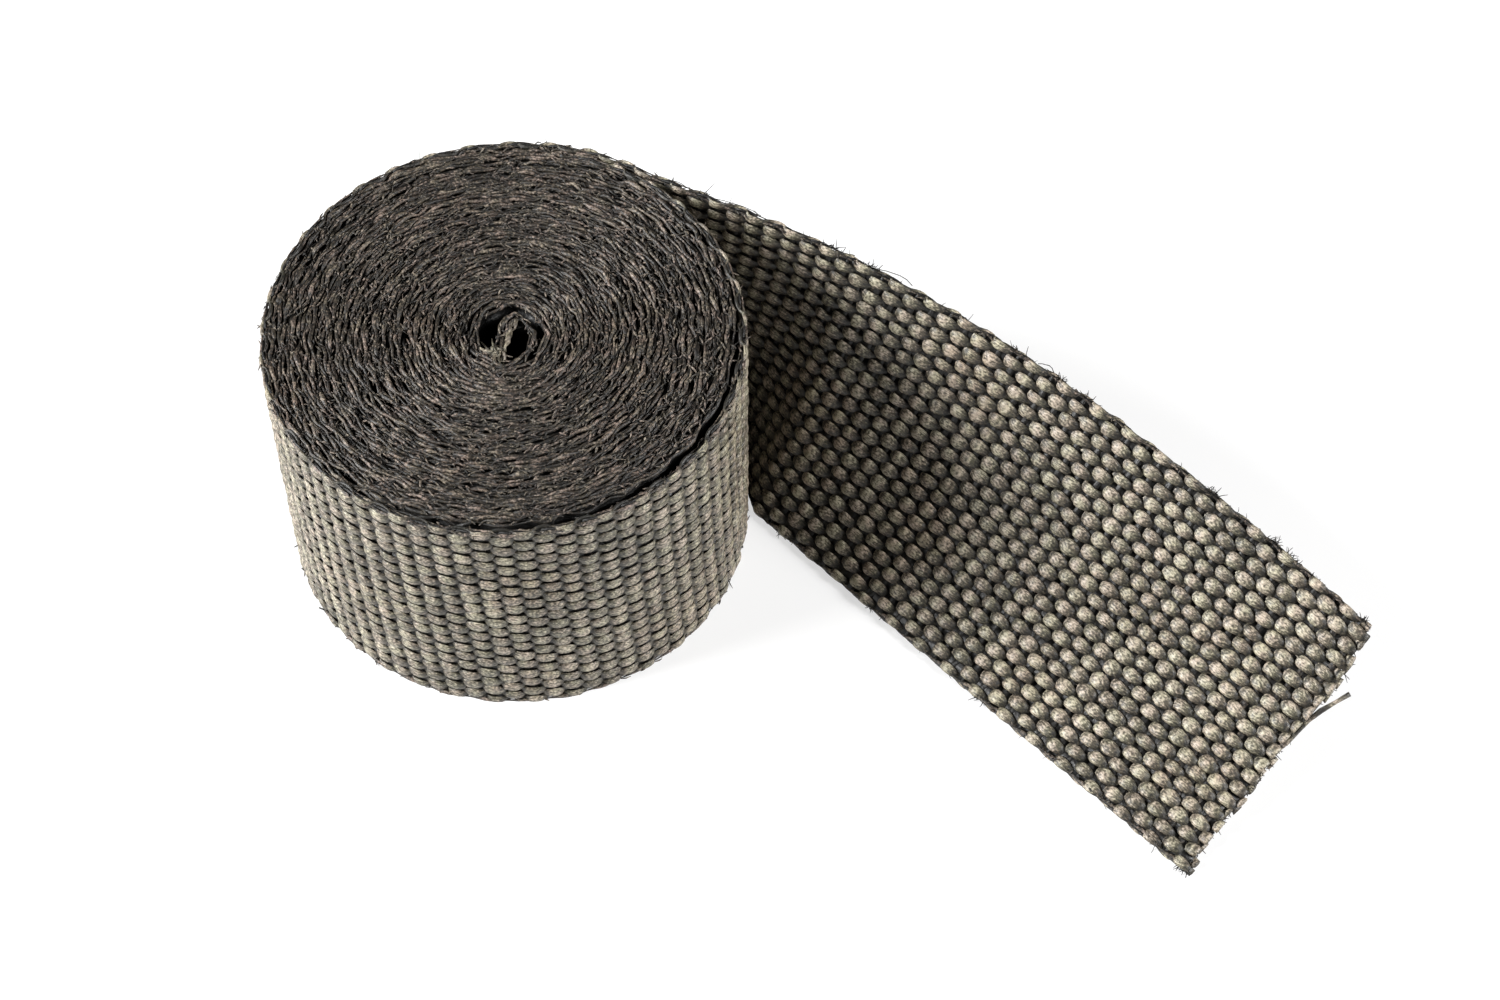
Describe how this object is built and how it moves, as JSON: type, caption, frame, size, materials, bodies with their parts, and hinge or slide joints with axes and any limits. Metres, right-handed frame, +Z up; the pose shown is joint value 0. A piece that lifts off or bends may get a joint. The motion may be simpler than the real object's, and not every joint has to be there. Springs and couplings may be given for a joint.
{
  "type": "exhaust heat wrap",
  "caption": "Roll of woven glass fibre exhaust heat wrap tape standing on its end, with the tape's loose end leaving the roll and leaning back.",
  "frame": {"origin": "on the roll's axis, on the floor that the roll stands on", "axes": "+Z up along the roll's axis, +X towards the side that the loose end runs to, +Y away from the side that the loose end runs to as well"},
  "size_m": [0.1781, 0.1115, 0.05],
  "materials": {
    "woven_tape": "plain woven glass fibre, graphite grey, matt with fine glints"
  },
  "bodies": {
    "root": {"wrap_tape": "woven_tape"}
  },
  "joints": []
}
